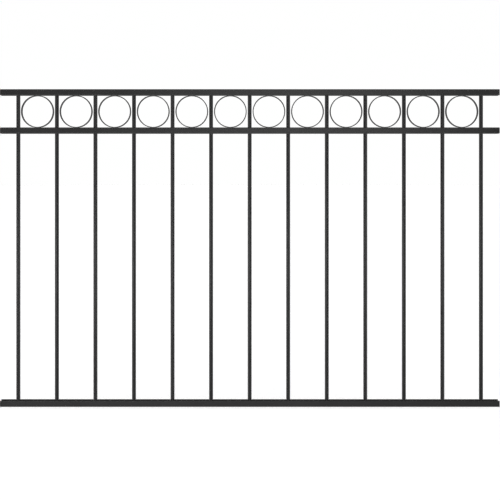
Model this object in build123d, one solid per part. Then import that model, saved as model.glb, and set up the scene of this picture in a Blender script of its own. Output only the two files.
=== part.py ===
"""Steel fence panel: three square tube rails, round pickets between them and a frieze of flat-bar rings.

Frame: X runs along the panel, Y through it with the front towards -Y, and Z up.
The origin is on the underside of the bottom rail, at the middle of the panel.
"""

import os

from build123d import *

# Driving dimensions, in millimetres
PANEL_HEIGHT = 1080.0  # underside of the bottom rail to the top of the top rail
RING_COUNT = 12  # one ring in each bay, so there is one picket more than there are rings
END_OVERHANG = 60.4  # end of the panel to the axis of the nearest picket

RAIL_SIZE = 20.0  # outside of the square tube
RAIL_WALL = 1.5
RAIL_INNER_RADIUS = 0.5  # corner inside the tube
FORK_DEPTH = 20.0  # how far the upper and lower walls are cut away at each end of a rail

PICKET_DIAMETER = 12.0
PICKET_HOLE_GAP = 0.2  # all round a picket in the ring rail's punched hole

RING_OUTSIDE = 110.0  # also the clear height between the two rails that hold the rings
RING_THICKNESS = 2.0  # of the flat bar that is rolled into a ring
RING_DEPTH = 10.0  # width of that bar, along Y
RING_SIDE_GAP = 4.8  # ring to the picket on either side

# Sizes that follow from the driving ones
PICKET_COUNT = RING_COUNT + 1
PICKET_PITCH = RING_OUTSIDE + PICKET_DIAMETER + 2 * RING_SIDE_GAP
PANEL_LENGTH = RING_COUNT * PICKET_PITCH + 2 * END_OVERHANG
RAIL_BORE = RAIL_SIZE - 2 * RAIL_WALL
RAIL_OUTER_RADIUS = RAIL_INNER_RADIUS + RAIL_WALL
PICKET_HOLE_RADIUS = PICKET_DIAMETER / 2 + PICKET_HOLE_GAP

# Height of each rail's underside
BOTTOM_RAIL_Z = 0.0
TOP_RAIL_Z = PANEL_HEIGHT - RAIL_SIZE
RING_RAIL_Z = TOP_RAIL_Z - RING_OUTSIDE - RAIL_SIZE
RING_CENTRE_Z = TOP_RAIL_Z - RING_OUTSIDE / 2


def picket_x(index):
    """X of one picket's axis, counted from the left."""
    return (index - (PICKET_COUNT - 1) / 2) * PICKET_PITCH


def rail_tube(underside):
    """Square tube along X, forked at both ends: there only its front and back walls go on."""
    outside = RectangleRounded(RAIL_SIZE, RAIL_SIZE, RAIL_OUTER_RADIUS)
    bore = RectangleRounded(RAIL_BORE, RAIL_BORE, RAIL_INNER_RADIUS)
    tube = extrude(Plane.YZ * (outside - bore), PANEL_LENGTH / 2, both=True)
    slot = Box(2 * FORK_DEPTH, RAIL_BORE, 2 * RAIL_SIZE)
    ends = [Pos(side * PANEL_LENGTH / 2, 0, 0) * slot for side in (-1, 1)]
    return Pos(0, 0, underside + RAIL_SIZE / 2) * (tube - ends)


def ring_rail():
    """Rail under the rings, punched right through for every picket that passes it."""
    height = RING_RAIL_Z + RAIL_SIZE / 2
    punch = Cylinder(PICKET_HOLE_RADIUS, 2 * RAIL_SIZE)
    punches = [Pos(picket_x(index), 0, height) * punch for index in range(PICKET_COUNT)]
    return rail_tube(RING_RAIL_Z) - punches


def picket(index):
    """Round bar that stands on the bottom rail, passes the ring rail and butts under the top rail."""
    foot = BOTTOM_RAIL_Z + RAIL_SIZE
    seat = (Align.CENTER, Align.CENTER, Align.MIN)
    return Pos(picket_x(index), 0, foot) * Cylinder(PICKET_DIAMETER / 2, TOP_RAIL_Z - foot, align=seat)


def rings():
    """Flat bar rolled into rings on edge, one in each bay, touching the rails above and below."""
    section = Circle(RING_OUTSIDE / 2) - Circle(RING_OUTSIDE / 2 - RING_THICKNESS)
    ring = extrude(Plane.XZ * section, RING_DEPTH / 2, both=True)
    first = picket_x(0) + PICKET_PITCH / 2
    places = [Pos(first + index * PICKET_PITCH, 0, RING_CENTRE_Z) for index in range(RING_COUNT)]
    return Compound([place * ring for place in places])


def panel():
    """Every piece of the panel, by its name."""
    pieces = {"top_rail": rail_tube(TOP_RAIL_Z), "ring_rail": ring_rail()}
    pieces["bottom_rail"] = rail_tube(BOTTOM_RAIL_Z)
    pieces["rings"] = rings()
    for index in range(PICKET_COUNT):
        pieces[f"picket_{index + 1:02d}"] = picket(index)
    return pieces


os.makedirs("parts", exist_ok=True)
for name, piece in panel().items():
    export_step(piece, f"parts/{name}.step")
print(f"panel {PANEL_LENGTH:.1f} by {PANEL_HEIGHT:.1f} mm, pickets every {PICKET_PITCH:.2f} mm")
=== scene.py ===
"""Steel fence panel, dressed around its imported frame: powder coat, rolled rings and weld beads.

Lengths are in metres, in the panel's own frame: X along it, -Y towards the viewer and Z up.
"""

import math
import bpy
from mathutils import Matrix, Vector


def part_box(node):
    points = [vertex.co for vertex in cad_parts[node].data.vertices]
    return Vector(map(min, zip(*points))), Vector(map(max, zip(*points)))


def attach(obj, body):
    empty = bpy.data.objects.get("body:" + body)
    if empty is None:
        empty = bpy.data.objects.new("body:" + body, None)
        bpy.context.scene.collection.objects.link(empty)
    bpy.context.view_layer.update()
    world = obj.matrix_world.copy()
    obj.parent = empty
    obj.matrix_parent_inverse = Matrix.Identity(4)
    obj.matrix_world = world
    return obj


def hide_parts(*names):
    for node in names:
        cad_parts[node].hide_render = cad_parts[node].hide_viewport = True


bl_info = {
    "name": "Steel fence panel",
    "version": (1, 0, 0),
    "blender": (4, 5, 0),
    "location": "View3D > Sidebar > Fence",
    "description": "Finishes a welded fence panel with rings, weld beads and powder coat",
    "category": "Object",
}

import bmesh
import bpy
import numpy as np

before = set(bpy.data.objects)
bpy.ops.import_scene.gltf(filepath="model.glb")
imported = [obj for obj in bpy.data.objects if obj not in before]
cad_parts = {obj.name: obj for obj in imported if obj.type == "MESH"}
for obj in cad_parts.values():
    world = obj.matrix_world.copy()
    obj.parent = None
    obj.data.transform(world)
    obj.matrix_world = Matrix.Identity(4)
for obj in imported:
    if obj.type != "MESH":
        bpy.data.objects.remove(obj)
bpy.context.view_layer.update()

X, Y, Z = 0, 1, 2
WHOLE_TURN = 2 * math.pi
QUARTER_TURN = math.pi / 2
WHITE = (1.0, 1.0, 1.0, 1.0)
BODY = "root"


def span(node, axis):
    """Lowest and highest coordinate of a CAD node along one axis."""
    low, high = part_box(node)
    return low[axis], high[axis]


# Places that the frame gives
RAILS = ("top_rail", "ring_rail", "bottom_rail")
PICKETS = sorted(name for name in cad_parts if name.startswith("picket_"))
PICKET_SPANS = np.array([span(name, X) for name in PICKETS])
PICKET_X = PICKET_SPANS.sum(1) / 2
PICKET_RADIUS = np.ptp(PICKET_SPANS[0]) / 2
BAY_X = (PICKET_X[1:] + PICKET_X[:-1]) / 2
TOP_RAIL_LOW = span("top_rail", Z)[0]
RING_RAIL_LOW, RING_RAIL_HIGH = span("ring_rail", Z)
BOTTOM_RAIL_HIGH = span("bottom_rail", Z)[1]
RAIL_FRONT = span("top_rail", Y)[0]
RING_RADIUS = (TOP_RAIL_LOW - RING_RAIL_HIGH) / 2
RING_CENTRE_Z = (TOP_RAIL_LOW + RING_RAIL_HIGH) / 2
RING_HALF_DEPTH = span("rings", Y)[1]

# Texture of the powder coat
CLOUD_SIZE = 0.11
CLOUD_DETAIL = 3.0
CLOUD_RANGE = (0.3, 0.7)  # noise where the clouds are darkest and lightest
CLOUD_TINT = 0.15  # how far they leave the coat's colour, as a share of it
CLOUD_GLOSS = 0.12  # change of roughness over the clouds
GRAIN_GLOSS = 0.10  # change of roughness over the grain
GRAIN_FINENESS = 6  # specks of grain across one dimple of the orange peel
GRAIN_HEIGHT = 0.06  # as a share of a dimple's depth
NOISE_MEAN = 0.5
COAT_SPECULAR = 0.45

# Boxes of light in front of the panel: width and height, the place of the middle, and the turn about Z
BOXES = {
    "fill": ((5.0, 3.0), (0.0, -5.5, 1.5), 0.0),
    "softbox": ((2.1, 0.75), (0.65, -4.5, 1.33), 0.0),
    "left_box": ((2.0, 0.3), (-1.6, -2.4, 0.15), -0.55),
    "front_box": ((1.6, 0.3), (-0.3, -2.9, 0.15), -0.1),
}

# Tone curve of the view: the channel that holds for all colours, and points of brightness in and out
ALL_COLOURS = 3
TONE_POINTS = ((0.04, 0.04), (0.5, 0.31))

SENSOR_WIDTH = 36.0  # of the camera, in millimetres


class RingSettings(bpy.types.PropertyGroup):
    """Sizes of the rolled flat-bar rings."""

    thickness: bpy.props.FloatProperty(
        name="Thickness", description="Thickness of the flat bar",
        default=0.002, min=0.001, unit="LENGTH")
    edge: bpy.props.FloatProperty(
        name="Edge radius", description="Rounding of the bar's edges",
        default=0.0005, min=0.0, unit="LENGTH")
    edge_steps: bpy.props.IntProperty(
        name="Edge steps", description="Straight steps round one edge of the bar",
        default=3, min=1)
    steps: bpy.props.IntProperty(
        name="Steps", description="Straight steps round one ring",
        default=144, min=24)


class WeldSettings(bpy.types.PropertyGroup):
    """Sizes of the weld beads."""

    leg: bpy.props.FloatProperty(
        name="Leg", description="How far a bead reaches along each piece",
        default=0.0014, min=0.0005, unit="LENGTH")
    ring_length: bpy.props.FloatProperty(
        name="Ring bead", description="Length of a bead beside a ring",
        default=0.018, min=0.004, unit="LENGTH")
    ripple_pitch: bpy.props.FloatProperty(
        name="Ripple pitch", description="From one ripple of a bead to the next",
        default=0.0019, min=0.0005, unit="LENGTH")
    ripple: bpy.props.FloatProperty(
        name="Ripple", description="Height of the ripples, as a share of the leg",
        default=0.10, min=0.0, max=0.3, subtype="FACTOR")
    uneven: bpy.props.FloatProperty(
        name="Unevenness", description="Slow change of a bead's size, as a share of the leg",
        default=0.12, min=0.0, max=0.5, subtype="FACTOR")
    overlap: bpy.props.FloatProperty(
        name="Overlap", description="Swelling where a bead closes on itself, as a share of the leg",
        default=0.3, min=0.0, max=1.0, subtype="FACTOR")
    seed: bpy.props.IntProperty(
        name="Seed", description="Start of the random draws",
        default=7, min=0)


class CoatSettings(bpy.types.PropertyGroup):
    """Colour and texture of the powder coat."""

    colour: bpy.props.FloatVectorProperty(
        name="Colour", description="Powder coat",
        default=(0.018, 0.018, 0.0184), min=0.0, max=1.0, subtype="COLOR")
    roughness: bpy.props.FloatProperty(
        name="Roughness", description="Mean roughness of the coat",
        default=0.32, min=0.0, max=1.0, subtype="FACTOR")
    peel_size: bpy.props.FloatProperty(
        name="Peel size", description="Width of one orange-peel dimple",
        default=0.0022, min=0.0003, unit="LENGTH")
    peel_depth: bpy.props.FloatProperty(
        name="Peel depth", description="Depth of the orange peel",
        default=0.00006, min=0.0, precision=6, unit="LENGTH")


class StageSettings(bpy.types.PropertyGroup):
    """Floor, lights and camera."""

    floor_colour: bpy.props.FloatVectorProperty(
        name="Floor", description="Pale studio floor",
        default=(0.92, 0.92, 0.92), min=0.0, max=1.0, subtype="COLOR")
    floor_glow: bpy.props.FloatProperty(
        name="Floor glow", description="Light that the floor gives off, as from a lit table",
        default=0.65, min=0.0)
    horizon: bpy.props.FloatProperty(
        name="Horizon", description="Radiance of the surround at the horizon",
        default=0.015, min=0.0)
    zenith: bpy.props.FloatProperty(
        name="Zenith", description="Radiance that the surround gains to straight above",
        default=0.3, min=0.0)
    nadir: bpy.props.FloatProperty(
        name="Nadir", description="Radiance that the surround gains to straight below",
        default=1.71, min=0.0)
    overhead: bpy.props.FloatProperty(
        name="Overhead", description="Strength of the soft light from above",
        default=0.72, min=0.0)
    overhead_angle: bpy.props.FloatProperty(
        name="Overhead width", description="Angle that the light from above comes from",
        default=math.radians(70), min=0.0, subtype="ANGLE")
    fill: bpy.props.FloatProperty(
        name="Fill", description="Power of the large box behind the camera",
        default=15.3, min=0.0, unit="POWER")
    softbox: bpy.props.FloatProperty(
        name="Softbox", description="Power of the smaller box behind the camera",
        default=12.55, min=0.0, unit="POWER")
    left_box: bpy.props.FloatProperty(
        name="Left box", description="Power of the low box on the left",
        default=14.0, min=0.0, unit="POWER")
    front_box: bpy.props.FloatProperty(
        name="Front box", description="Power of the low box in front",
        default=4.6, min=0.0, unit="POWER")
    lens: bpy.props.FloatProperty(
        name="Lens", description="Focal length",
        default=55.045, min=10.0, unit="CAMERA")
    distance: bpy.props.FloatProperty(
        name="Distance", description="Camera to the panel's front",
        default=2.6, min=0.5, unit="LENGTH")
    height: bpy.props.FloatProperty(
        name="Height", description="Camera above the floor",
        default=0.8056, min=0.0, unit="LENGTH")
    aside: bpy.props.FloatProperty(
        name="Aside", description="Camera to the right of the panel's middle",
        default=0.0012, unit="LENGTH")
    drop: bpy.props.FloatProperty(
        name="Drop", description="Shift of the frame below the horizon, as a share of its width",
        default=0.16, min=-1.0, max=1.0, subtype="FACTOR")


class Shade:
    """A socket of a node tree. Maths with it adds Math nodes, and node() adds any other kind."""

    def __init__(self, tree, socket=None):
        self.tree = tree
        self.socket = socket

    def node(self, kind, settings, inputs, output=0):
        """A new node of a kind: its settings, then its sockets' values or links. Gives one of its outputs."""
        made = self.tree.nodes.new(kind)
        for name, value in settings.items():
            if name == "stops":
                for stop, (place, colour) in zip(made.color_ramp.elements, value):
                    stop.position, stop.color = place, colour
            else:
                setattr(made, name, value)
        for name, value in inputs.items():
            if isinstance(value, Shade):
                self.tree.links.new(value.socket, made.inputs[name])
            else:
                made.inputs[name].default_value = value
        return Shade(self.tree, made.outputs[output] if len(made.outputs) else None)

    def _math(self, operation, left, right):
        return self.node("ShaderNodeMath", {"operation": operation}, {0: left, 1: right})

    def __add__(self, other):
        return self._math("ADD", self, other)

    def __sub__(self, other):
        return self._math("SUBTRACT", self, other)

    def __rsub__(self, other):
        return self._math("SUBTRACT", other, self)

    def __mul__(self, other):
        return self._math("MULTIPLY", self, other)

    __radd__ = __add__
    __rmul__ = __mul__


def fresh_nodes(owner):
    """Clears the nodes of a new material or world, and gives a Shade to start its own from."""
    owner.use_nodes = True
    owner.node_tree.nodes.clear()
    return Shade(owner.node_tree)


def noise(place, size, detail=2.0):
    """Noise over the object's own coordinates whose lumps are about one size wide."""
    inputs = {"Vector": place, "Scale": 1 / size, "Detail": detail}
    return place.node("ShaderNodeTexNoise", {}, inputs, "Fac")


def tint(colour, share):
    """A colour made lighter by a share of itself, with full alpha."""
    return (*(channel * (1 + share) for channel in colour), 1.0)


def powder_coat():
    """The black powder coat, made once.

    Slow clouds of noise change its colour and its roughness. The bump is a noise of orange-peel dimples
    plus a finer grain, which changes the roughness too.
    """
    name = "powder_coat_black"
    if name in bpy.data.materials:
        return bpy.data.materials[name]
    coat = bpy.context.scene.fence_coat
    material = bpy.data.materials.new(name)
    start = fresh_nodes(material)
    place = start.node("ShaderNodeTexCoord", {}, {}, "Object")
    cloud = noise(place, CLOUD_SIZE, CLOUD_DETAIL)
    peel = noise(place, coat.peel_size)
    grain = noise(place, coat.peel_size / GRAIN_FINENESS)
    tints = (tint(coat.colour, -CLOUD_TINT), tint(coat.colour, CLOUD_TINT))
    shade = start.node("ShaderNodeValToRGB", {"stops": tuple(zip(CLOUD_RANGE, tints))}, {"Fac": cloud})
    gloss = coat.roughness + CLOUD_GLOSS * (cloud - NOISE_MEAN) + GRAIN_GLOSS * (grain - NOISE_MEAN)
    height = peel + GRAIN_HEIGHT * grain
    bump = start.node("ShaderNodeBump", {}, {"Strength": 1.0, "Distance": coat.peel_depth, "Height": height})
    skin = start.node("ShaderNodeBsdfPrincipled", {}, {
        "Base Color": shade, "Roughness": gloss, "Normal": bump, "Specular IOR Level": COAT_SPECULAR})
    start.node("ShaderNodeOutputMaterial", {}, {"Surface": skin})
    return material


def rounded_rectangle(half_width, half_height, radius, steps):
    """Outline of a rectangle, counterclockwise: each corner's centre plus a quarter turn of the radius."""
    turn = np.arange(4)[:, None] * QUARTER_TURN + np.linspace(0, QUARTER_TURN, steps + 1)
    side = np.array([[1, 1], [-1, 1], [-1, -1], [1, -1]])
    centres = side * np.array([half_width - radius, half_height - radius])
    arcs = radius * np.stack([np.cos(turn), np.sin(turn)], -1)
    return (centres[:, None] + arcs).reshape(-1, 2)


def ring_faces(copies, rings, points, joined):
    """Corner numbers of the faces of shells made of rings of points.

    Quads lie between one ring and the next. The last ring meets the first where they are joined, and
    otherwise fans of triangles close both ends on the centre points, which are numbered after all the rings.
    """
    number = np.arange(copies * rings * points).reshape(copies, rings, points)
    low = number if joined else number[:, :-1]
    high = np.roll(number, -1, axis=1) if joined else number[:, 1:]
    quads = np.stack([low, np.roll(low, -1, 2), np.roll(high, -1, 2), high], -1).reshape(-1, 4).tolist()
    if joined:
        return quads
    ends = number[:, [0, -1]]
    centre = np.broadcast_to(number.size + np.arange(copies * 2).reshape(copies, 2, 1), ends.shape)
    fans = np.stack([ends, np.roll(ends, -1, 2), centre], -1).reshape(-1, 3).tolist()
    return quads + fans


def shell_object(name, rings, joined, sharp=math.radians(38)):
    """Object of closed shells from an array of copies, rings, points and 3, smooth below the sharp angle."""
    copies, count, points = rings.shape[:3]
    vertices = rings.reshape(-1, 3)
    if not joined:
        vertices = np.concatenate([vertices, rings[:, [0, -1]].mean(2).reshape(-1, 3)])
    mesh = bpy.data.meshes.new(name)
    mesh.from_pydata(vertices.tolist(), [], ring_faces(copies, count, points, joined))
    shape = bmesh.new()
    shape.from_mesh(mesh)
    bmesh.ops.recalc_face_normals(shape, faces=shape.faces)
    shape.to_mesh(mesh)
    shape.free()
    mesh.shade_smooth()
    mesh.set_sharp_from_angle(angle=sharp)
    piece = bpy.data.objects.new(name, mesh)
    bpy.context.scene.collection.objects.link(piece)
    return piece


def finish_piece(piece, *stands_for):
    """Coats a new piece, rides it on the panel and hides the CAD nodes it stands for."""
    piece.data.materials.append(powder_coat())
    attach(piece, BODY)
    if stands_for:
        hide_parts(*stands_for)


class FENCE_OT_bars(bpy.types.Operator):
    """Coat the rails and pickets of the frame"""

    bl_idname = "fence.bars"
    bl_label = "Rails and pickets"

    def execute(self, context):
        for name in (*RAILS, *PICKETS):
            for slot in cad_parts[name].material_slots:
                slot.material = powder_coat()
        return {"FINISHED"}


class FENCE_OT_rings(bpy.types.Operator):
    """Roll a flat bar with rounded edges into a ring in every bay"""

    bl_idname = "fence.rings"
    bl_label = "Rings"

    def execute(self, context):
        size = context.scene.fence_rings
        finish_piece(shell_object("rolled_rings", self.surface(size), joined=True), "rings")
        return {"FINISHED"}

    def surface(self, size):
        """The bar's rounded section, outwards and along Y, carried round a circle in XZ in every bay."""
        half = size.thickness / 2
        section = rounded_rectangle(half, RING_HALF_DEPTH, size.edge, size.edge_steps)
        turn = np.arange(size.steps) * WHOLE_TURN / size.steps
        reach = RING_RADIUS - half + section[:, 0]
        x = BAY_X[:, None, None] + reach * np.cos(turn)[:, None]
        z = RING_CENTRE_Z + reach * np.sin(turn)[:, None]
        return np.stack(np.broadcast_arrays(x, section[:, 1], z), -1)


def fillet_section(bulge=1.35, steps=6, sunk=0.25):
    """Section of a weld bead whose legs are 1 long, counterclockwise from the foot of the first leg.

    The face is a quarter of the curve |u|^bulge + |v|^bulge = 1, and the back lies sunk in both pieces. A
    second array gives each point's share of the way from the feet, 0, to the crown of the face, 1.
    """
    turn = np.linspace(0, QUARTER_TURN, steps + 1)
    face = np.stack([np.cos(turn) ** (2 / bulge), np.sin(turn) ** (2 / bulge)], -1)
    back = np.array([[-sunk, 1 - sunk], [-sunk, -sunk], [1 - sunk, -sunk]])
    crown = np.concatenate([np.sin(2 * turn), np.zeros(len(back))])
    return np.concatenate([face, back]), crown


def slow_change(draws, copies, turn, waves=5):
    """Smooth uneven values of about -1 to 1 along a turn: a sum of cosines whose phases are random."""
    wave = np.arange(1, waves + 1)
    phase = draws.uniform(0, WHOLE_TURN, (copies, waves, 1))
    return (np.cos(wave[:, None] * turn + phase) / wave[:, None] ** 0.5).sum(1) / waves ** 0.5


def ripple_wave(draws, copies, phase, crown, lag=1.6, peak=0.3):
    """Ripples of about -1 to 1 along beads, bowed because the crown of the face lags behind its feet.

    A wave is a cosine with a random start, mixed with a share of its square so that its tops are sharper.
    """
    start = draws.uniform(0, WHOLE_TURN, (copies, 1, 1))
    wave = np.cos(phase[:, None] + start - lag * crown)
    return (1 - peak) * wave + peak * wave ** 2


class FENCE_OT_picket_welds(bpy.types.Operator):
    """Run a fillet bead round every picket where it meets a rail"""

    bl_idname = "fence.picket_welds"
    bl_label = "Picket welds"
    steps = 120  # round one bead
    lump_narrowness = 8  # of the swelling where a bead closes

    def execute(self, context):
        size = context.scene.fence_welds
        draws = np.random.default_rng(size.seed)
        seats = {
            "bottom_rail_welds": ((BOTTOM_RAIL_HIGH, 1),),
            "ring_rail_welds": ((RING_RAIL_LOW, -1), (RING_RAIL_HIGH, 1)),
            "top_rail_welds": ((TOP_RAIL_LOW, -1),),
        }
        for name, places in seats.items():
            beads = np.concatenate([self.surface(size, draws, height, way) for height, way in places])
            finish_piece(shell_object(name, beads, joined=True))
        return {"FINISHED"}

    def surface(self, size, draws, height, way):
        """The bead's section carried round each picket, outwards from its skin and along Z from the rail.

        The legs grow and shrink by a slow change and by even ripples along the run, and swell where it
        closes.
        """
        copies = len(PICKET_X)
        turn = np.arange(self.steps) * WHOLE_TURN / self.steps
        ripples = round(WHOLE_TURN * PICKET_RADIUS / size.ripple_pitch)
        section, crown = fillet_section()
        stop = draws.uniform(0, WHOLE_TURN, (copies, 1))
        lump = size.overlap * np.exp(self.lump_narrowness * (np.cos(turn - stop) - 1))
        uneven = 1 + (lump + size.uneven * slow_change(draws, copies, turn))[..., None]
        ripple = size.ripple * ripple_wave(draws, copies, ripples * turn, crown)
        leg = size.leg * (uneven + ripple)
        out = PICKET_RADIUS + leg * section[:, 0]
        x = PICKET_X[:, None, None] + out * np.cos(turn)[:, None]
        y = out * np.sin(turn)[:, None]
        z = height + way * leg * section[:, 1]
        return np.stack([x, y, z], -1)


class FENCE_OT_ring_welds(bpy.types.Operator):
    """Lay a short bead in front of and behind every ring where it touches a rail"""

    bl_idname = "fence.ring_welds"
    bl_label = "Ring welds"
    steps = 60  # along one bead
    reach = 0.98  # share of its quarter turns that a bead is laid over, so that its ends stay blunt

    def execute(self, context):
        size = context.scene.fence_welds
        draws = np.random.default_rng(size.seed + 1)
        seats = ((TOP_RAIL_LOW, -1), (RING_RAIL_HIGH, 1))
        sides = [(height, way, face) for height, way in seats for face in (-1, 1)]
        beads = np.concatenate([self.surface(size, draws, *side) for side in sides])
        finish_piece(shell_object("ring_welds", beads, joined=False))
        return {"FINISHED"}

    def surface(self, size, draws, height, way, face):
        """The bead's section carried along X past the point of touch, thinning to both ends like an ellipse.

        One leg lies on the rail. The other spans the gap to the ring, which is the circle's fall from its
        tangent, and then climbs the ring's edge.
        """
        along = np.sin(np.linspace(-1, 1, self.steps + 1) * QUARTER_TURN * self.reach)
        copies = len(BAY_X)
        run = along * size.ring_length / 2
        section, crown = fillet_section()
        uneven = 1 + size.uneven * slow_change(draws, copies, along * QUARTER_TURN)[..., None]
        ripple = size.ripple * ripple_wave(draws, copies, run * WHOLE_TURN / size.ripple_pitch, crown)
        leg = size.leg * np.sqrt(1 - along ** 2)[:, None] * (uneven + ripple)
        gap = RING_RADIUS - np.sqrt(RING_RADIUS ** 2 - run ** 2)
        y = face * (RING_HALF_DEPTH + leg * section[:, 0])
        z = height + way * (gap[:, None] * (section[:, 1] > 0) + leg * section[:, 1])
        x = BAY_X[:, None, None] + np.broadcast_to(run[:, None], y.shape)
        return np.stack([x, y, z], -1)


class FENCE_OT_stage(bpy.types.Operator):
    """Set the pale floor, the soft lights and the camera"""

    bl_idname = "fence.stage"
    bl_label = "Stage"

    def execute(self, context):
        scene = context.scene
        size = scene.fence_stage
        self.floor(scene, size)
        self.surround(scene, size)
        self.lights(scene, size)
        self.tones(scene)
        self.camera(scene, size)
        return {"FINISHED"}

    def floor(self, scene, size, radius=40.0, steps=64):
        """A disc under the panel: a circle of points in the plane Z = 0."""
        turn = np.arange(steps) * WHOLE_TURN / steps
        rim = np.stack([radius * np.cos(turn), radius * np.sin(turn), np.zeros(steps)], -1)
        mesh = bpy.data.meshes.new("floor")
        mesh.from_pydata(rim.tolist(), [], [list(range(steps))])
        material = bpy.data.materials.new("pale_floor")
        start = fresh_nodes(material)
        skin = start.node("ShaderNodeBsdfPrincipled", {}, {
            "Base Color": (*size.floor_colour, 1.0), "Roughness": 1.0, "Specular IOR Level": 0.0,
            "Emission Color": WHITE, "Emission Strength": size.floor_glow})
        start.node("ShaderNodeOutputMaterial", {}, {"Surface": skin})
        mesh.materials.append(material)
        floor = bpy.data.objects.new("floor", mesh)
        scene.collection.objects.link(floor)
        floor.visible_glossy = False

    def surround(self, scene, size):
        """A surround that shows as plain white and lights with another radiance.

        That is its value at the horizon, plus a share that grows with the square of the height above it,
        plus a share that grows with the depth below it and fades to the left and right.
        """
        world = bpy.data.worlds.new("white_surround")
        start = fresh_nodes(world)
        seen = start.node("ShaderNodeLightPath", {}, {}, "Is Camera Ray")
        way = start.node("ShaderNodeTexCoord", {}, {}, "Generated")
        height = start.node("ShaderNodeSeparateXYZ", {}, {"Vector": way}, "Z")
        side = start.node("ShaderNodeSeparateXYZ", {}, {"Vector": way}, "X")
        lift = start.node("ShaderNodeMath", {"operation": "MAXIMUM"}, {0: height, 1: 0.0})
        aside = start.node("ShaderNodeMath", {"operation": "ABSOLUTE"}, {0: side})
        sink = (lift - height) * (1 - aside)
        glow = size.horizon + size.zenith * (lift * lift) + size.nadir * sink
        back = start.node("ShaderNodeBackground", {}, {"Color": WHITE, "Strength": seen + (1 - seen) * glow})
        start.node("ShaderNodeOutputWorld", {}, {"Surface": back})
        scene.world = world

    def lights(self, scene, size):
        """A broad light straight from above, and upright boxes of light that face the panel."""
        overhead = bpy.data.lights.new("overhead", "SUN")
        overhead.energy, overhead.angle = size.overhead, size.overhead_angle
        scene.collection.objects.link(bpy.data.objects.new("overhead", overhead))
        for name, (extent, place, turn) in BOXES.items():
            lamp = bpy.data.lights.new(name, "AREA")
            lamp.shape = "RECTANGLE"
            lamp.size, lamp.size_y = extent
            lamp.energy = getattr(size, name)
            light = bpy.data.objects.new(name, lamp)
            light.location = place
            light.rotation_euler = (QUARTER_TURN, 0.0, turn)
            light.visible_camera = False
            scene.collection.objects.link(light)

    def tones(self, scene):
        """A plain view with a tone curve that keeps the blends at the edges of thin bars dark."""
        view = scene.view_settings
        view.view_transform = "Standard"
        view.use_curve_mapping = True
        for place in TONE_POINTS:
            view.curve_mapping.curves[ALL_COLOURS].points.new(*place)
        view.curve_mapping.update()

    def camera(self, scene, size):
        """A level camera square to the panel. Its frame is shifted, not tilted, so uprights stay upright."""
        lens = bpy.data.cameras.new("camera")
        lens.lens, lens.sensor_width, lens.shift_y = size.lens, SENSOR_WIDTH, -size.drop
        camera = bpy.data.objects.new("camera", lens)
        camera.location = (size.aside, RAIL_FRONT - size.distance, size.height)
        camera.rotation_euler = (QUARTER_TURN, 0.0, 0.0)
        scene.collection.objects.link(camera)
        scene.camera = camera


class FENCE_PT_panel(bpy.types.Panel):
    """Lists the steps that finish the panel"""

    bl_idname = "FENCE_PT_panel"
    bl_label = "Steel fence panel"
    bl_space_type = "VIEW_3D"
    bl_region_type = "UI"
    bl_category = "Fence"

    def draw(self, context):
        for operator in OPERATORS:
            self.layout.operator(operator.bl_idname)


GROUPS = {
    "fence_rings": RingSettings,
    "fence_welds": WeldSettings,
    "fence_coat": CoatSettings,
    "fence_stage": StageSettings,
}
OPERATORS = (
    FENCE_OT_bars,
    FENCE_OT_rings,
    FENCE_OT_picket_welds,
    FENCE_OT_ring_welds,
    FENCE_OT_stage,
)
CLASSES = (*GROUPS.values(), *OPERATORS, FENCE_PT_panel)


def register():
    """Registers the settings, operators and panel, and hangs the settings on the scene."""
    for cls in CLASSES:
        bpy.utils.register_class(cls)
    for name, cls in GROUPS.items():
        setattr(bpy.types.Scene, name, bpy.props.PointerProperty(type=cls))


def unregister():
    """Takes back what register did, in reverse."""
    for name in GROUPS:
        delattr(bpy.types.Scene, name)
    for cls in reversed(CLASSES):
        bpy.utils.unregister_class(cls)


def main():
    """Makes every piece and the stage."""
    register()
    bpy.ops.fence.bars()
    bpy.ops.fence.rings()
    bpy.ops.fence.picket_welds()
    bpy.ops.fence.ring_welds()
    bpy.ops.fence.stage()


if __name__ == "__main__":
    main()
